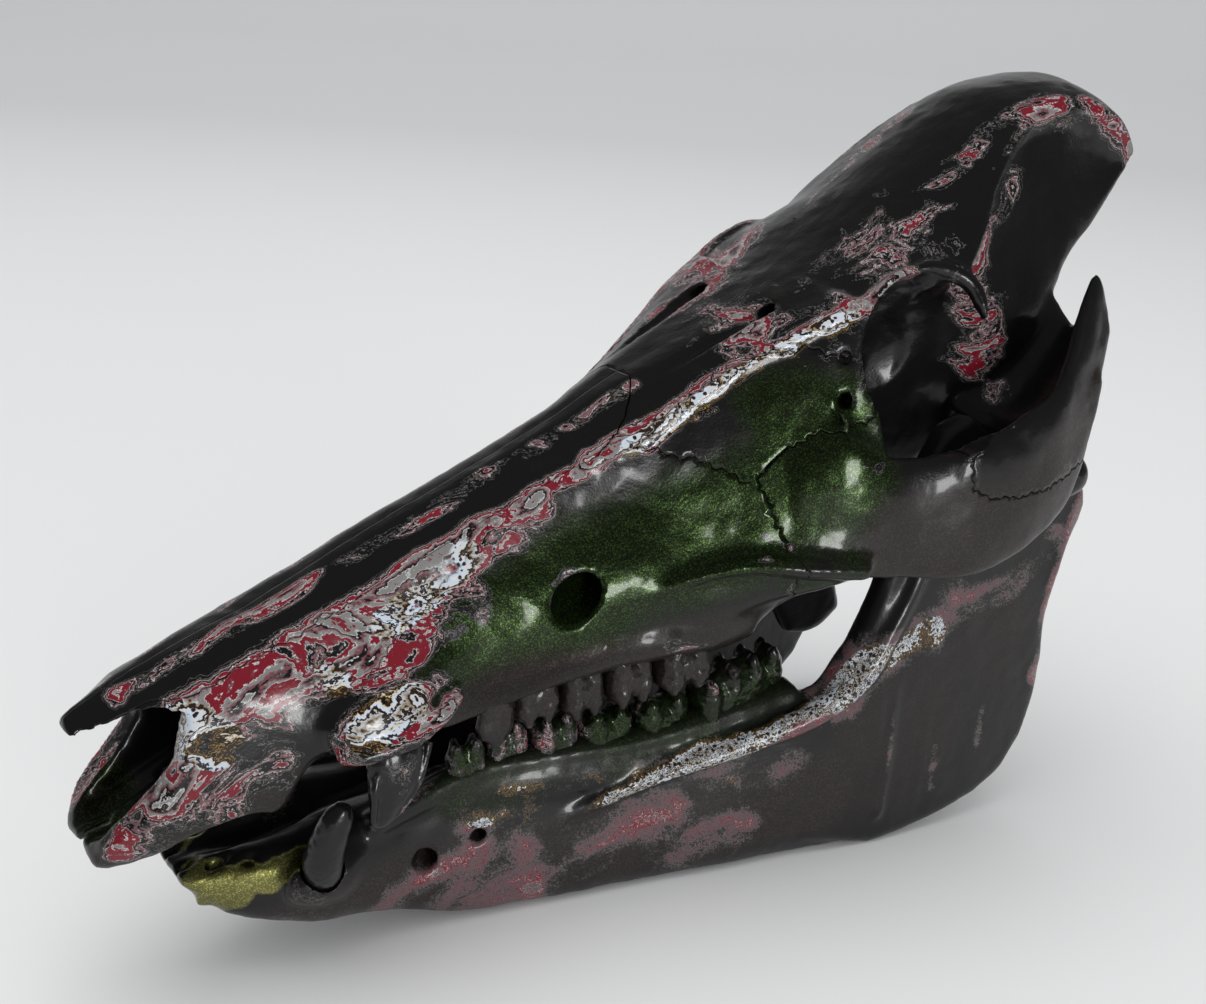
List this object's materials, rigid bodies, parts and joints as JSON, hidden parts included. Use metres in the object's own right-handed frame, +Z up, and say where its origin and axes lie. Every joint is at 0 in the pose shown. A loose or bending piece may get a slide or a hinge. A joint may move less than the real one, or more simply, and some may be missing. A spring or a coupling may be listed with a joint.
{
  "type": "pig skull",
  "caption": "Life-size pig skull with its lower jaw closed under it, resting on the jaw, with a decorative dark lacquered surface",
  "frame": {"origin": "centre of the bounding box at table height", "axes": "+X to the back of the skull (snout at -X), +Y to the animal's right, +Z up; symmetric about the plane y = 0"},
  "size_m": [0.3226, 0.1352, 0.2272],
  "materials": {
    "lacquered_skull": "black lacquer with green metallic flake over bone, rubbed through on the ridges to red, white and grey layers",
    "lacquered_jaw": "grey-brown and black lacquer over bone, rubbed through to dull red and grey layers, gold-green at the chin",
    "lacquered_teeth": "dark brown lacquer over enamel"
  },
  "bodies": {
    "root": {"cranium": "lacquered_skull", "nasal_left": "lacquered_skull", "nasal_right": "lacquered_skull", "premaxilla_left": "lacquered_skull", "premaxilla_right": "lacquered_skull", "jugal_left": "lacquered_skull", "jugal_right": "lacquered_skull", "mandible": "lacquered_jaw", "canine_upper_left": "lacquered_teeth", "canine_upper_right": "lacquered_teeth", "canine_lower_left": "lacquered_teeth", "canine_lower_right": "lacquered_teeth"}
  },
  "joints": []
}
